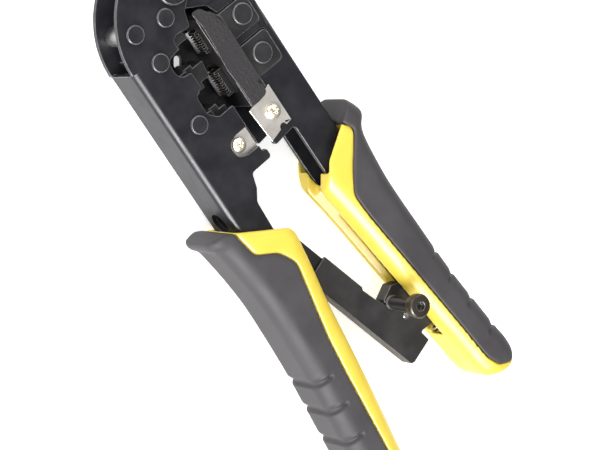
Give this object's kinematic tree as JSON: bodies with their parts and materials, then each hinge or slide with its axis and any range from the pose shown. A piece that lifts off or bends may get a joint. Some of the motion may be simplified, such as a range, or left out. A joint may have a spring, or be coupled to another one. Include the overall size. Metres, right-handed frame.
{
  "type": "modular plug crimping tool",
  "caption": "Hand crimping tool for modular telephone and network plugs, with a black steel head, crimping dies, cutting and stripping blades, yellow and grey handles and a ratchet link.",
  "frame": {"origin": "centre of the bounding box's bottom face: the plane that the tool's back lies on", "axes": "+Y along the tool towards the head, +X towards the moving handle, +Z out of the front face"},
  "size_m": [0.0856, 0.2314, 0.0367],
  "materials": {
    "black_steel": "black-oxide steel sheet, satin, with bright worn edges",
    "die_steel": "dark blackened die steel, slightly rough",
    "blade_steel": "ground blade steel, fine brush lines",
    "plated_steel": "nickel-plated screw steel",
    "spring_steel": "drawn spring and pin steel",
    "yellow_plastic": "hard yellow plastic, satin to semi-gloss",
    "grey_rubber": "dark grey soft overmould, fine matte grain",
    "black_plastic": "black knob, satin"
  },
  "bodies": {
    "fixed_arm": {"fixed_frame": "black_steel", "pivot_pin": "black_steel", "frame_rivet_1": "black_steel", "frame_rivet_2": "black_steel", "frame_rivet_3": "black_steel", "frame_rivet_4": "black_steel", "frame_spacer": "spring_steel", "nest_die": "die_steel", "blade_block": "die_steel", "stripper_blade": "blade_steel", "stripper_screw": "plated_steel", "left_handle_core": "yellow_plastic", "left_grip": "grey_rubber", "ratchet_bar_pin": "spring_steel"},
    "moving_arm": {"moving_frame": "black_steel", "die_carrier": "die_steel", "die_face_plate": "die_steel", "die_rivet_1": "black_steel", "die_rivet_2": "black_steel", "contact_punch_6": "blade_steel", "contact_punch_8": "blade_steel", "strain_punch_6": "spring_steel", "strain_punch_8": "spring_steel", "cutter_blade": "blade_steel", "cutter_screw": "plated_steel", "right_handle_core": "yellow_plastic", "right_grip": "grey_rubber", "housing_pin": "spring_steel", "opening_spring": "spring_steel", "link_spring": "spring_steel"},
    "toothed_bar": {"ratchet_bar": "die_steel"},
    "bar_housing": {"ratchet_housing": "black_steel", "housing_guide": "die_steel", "pawl_pin": "spring_steel"},
    "release_pawl": {"ratchet_pawl": "die_steel", "pawl_spring": "spring_steel", "release_stud": "black_steel", "release_knob": "black_plastic"}
  },
  "joints": [
    {"name": "squeeze", "type": "hinge", "parent": "fixed_arm", "child": "moving_arm", "pos_m": [0.0031, 0.09775, 0.013], "axis": [0, 0, -1], "range_deg": [0, 4.5], "stiffness_Nm_per_rad": 1, "springref_deg": -14.32, "deforming": ["opening_spring"]},
    {"name": "bar_swing", "type": "hinge", "parent": "fixed_arm", "child": "toothed_bar", "pos_m": [-0.0131, -0.00725, 0.013], "axis": [0, 0, -1], "range_deg": [0, 11.25]},
    {"name": "housing_swing", "type": "hinge", "parent": "moving_arm", "child": "bar_housing", "pos_m": [0.0251, -0.06825, 0.013], "axis": [0, 0, -1], "range_deg": [0, 6.75], "deforming": ["link_spring"]},
    {"name": "pawl_release", "type": "hinge", "parent": "bar_housing", "child": "release_pawl", "pos_m": [0.01363, -0.06391, 0.013], "axis": [0, 0, -1], "range_deg": [0, 6], "stiffness_Nm_per_rad": 0.05, "springref_deg": -5.73, "deforming": ["pawl_spring"]}
  ],
  "couplings": [
    {"joint": "bar_swing", "follows": "squeeze", "ratio": 2.5},
    {"joint": "housing_swing", "follows": "squeeze", "ratio": 1.5}
  ]
}
